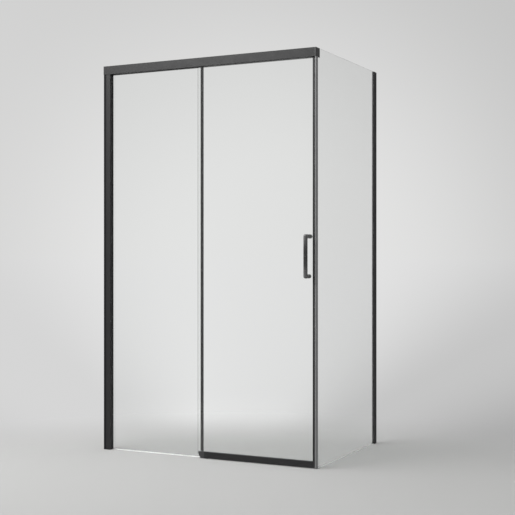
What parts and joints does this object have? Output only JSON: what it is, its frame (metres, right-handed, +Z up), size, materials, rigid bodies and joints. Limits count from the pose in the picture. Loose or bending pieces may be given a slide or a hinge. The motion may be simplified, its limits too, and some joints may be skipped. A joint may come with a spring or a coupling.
{
  "type": "shower enclosure",
  "caption": "Corner shower enclosure with a sliding glass door hung from a box rail, a fixed front panel, a glass side panel, a bar handle outside and a knob inside.",
  "frame": {"origin": "on the floor, in the middle of the whole object's plan, outer handle included", "axes": "+X along the front from the side wall to the corner post, +Y from the front to the back wall, +Z up"},
  "size_m": [1.21, 0.86, 2],
  "materials": {
    "black_metal": "satin black powder coat on extruded aluminium",
    "matte_metal": "matte black powder coat on extruded aluminium",
    "handle_metal": "satin black coat on turned and bent round bar",
    "black_plastic": "moulded matte black plastic",
    "magnet": "black plastic bound magnet strip",
    "black_rubber": "black soft seal",
    "clear_seal": "translucent soft seal",
    "clear_glass": "clear toughened glass",
    "cast_zinc": "plain die casting",
    "steel": "stainless steel",
    "pale_plastic": "pale hard-wearing plastic"
  },
  "bodies": {
    "frame": {"top_rail": "black_metal", "front_wall_profile": "black_metal", "fixed_edge_strip": "black_metal", "corner_post": "black_metal", "rail_cover_strip": "black_metal", "front_wall_channel": "matte_metal", "side_wall_channel": "matte_metal", "side_wall_profile": "matte_metal", "rail_wall_cap": "black_plastic", "corner_connector": "black_plastic", "floor_guide": "black_plastic", "post_magnet_strip": "magnet", "door_buffer": "black_rubber", "front_profile_gasket": "black_rubber", "rail_gasket": "black_rubber", "track_stop_pads": "black_rubber", "overlap_lip_seal": "black_rubber", "side_notch_gasket": "black_rubber", "side_profile_gasket": "black_rubber", "fixed_floor_seal": "clear_seal", "side_floor_seal": "clear_seal", "fixed_glass": "clear_glass", "side_glass": "clear_glass", "rail_clamp_block": "cast_zinc", "track_stops": "cast_zinc", "front_profile_screws": "steel", "rail_end_screws": "steel", "rail_clamp_screw": "steel", "track_stop_screws": "steel", "side_profile_screws": "steel", "front_profile_plug": "pale_plastic"},
    "door": {"door_glass": "clear_glass", "door_bottom_profile": "black_metal", "door_bottom_gasket": "black_rubber", "door_bottom_end_cap": "black_plastic", "door_bottom_right_cap": "black_plastic", "door_closing_profile": "black_metal", "door_magnet_strip": "magnet", "left_carriage": "cast_zinc", "right_carriage": "cast_zinc", "carriage_screws": "steel", "glass_bushes": "pale_plastic", "axle_bushes": "pale_plastic", "outer_handle": "handle_metal", "inner_knob": "handle_metal", "inner_cap": "handle_metal", "handle_washers": "black_rubber", "handle_studs": "steel"},
    "roller_1": {"roller_1_wheels": "pale_plastic", "roller_1_axle": "steel"},
    "roller_2": {"roller_2_wheels": "pale_plastic", "roller_2_axle": "steel"},
    "roller_3": {"roller_3_wheels": "pale_plastic", "roller_3_axle": "steel"},
    "roller_4": {"roller_4_wheels": "pale_plastic", "roller_4_axle": "steel"}
  },
  "joints": [
    {"name": "door_slide", "type": "slide", "parent": "frame", "child": "door", "axis": [-1, 0, 0], "range_m": [0, 0.513]},
    {"name": "roller_1_spin", "type": "hinge", "parent": "door", "child": "roller_1", "pos_m": [0.019, -0.378, 1.9746], "axis": [0, -1, 0], "range_deg": [0, 1970]},
    {"name": "roller_2_spin", "type": "hinge", "parent": "door", "child": "roller_2", "pos_m": [0.071, -0.378, 1.9746], "axis": [0, -1, 0], "range_deg": [0, 1970]},
    {"name": "roller_3_spin", "type": "hinge", "parent": "door", "child": "roller_3", "pos_m": [0.4744, -0.378, 1.9746], "axis": [0, -1, 0], "range_deg": [0, 1970]},
    {"name": "roller_4_spin", "type": "hinge", "parent": "door", "child": "roller_4", "pos_m": [0.5264, -0.378, 1.9746], "axis": [0, -1, 0], "range_deg": [0, 1970]}
  ],
  "couplings": [
    {"joint": "roller_1_spin", "follows": "door_slide", "rad_per_m": 66.667},
    {"joint": "roller_2_spin", "follows": "door_slide", "rad_per_m": 66.667},
    {"joint": "roller_3_spin", "follows": "door_slide", "rad_per_m": 66.667},
    {"joint": "roller_4_spin", "follows": "door_slide", "rad_per_m": 66.667}
  ]
}
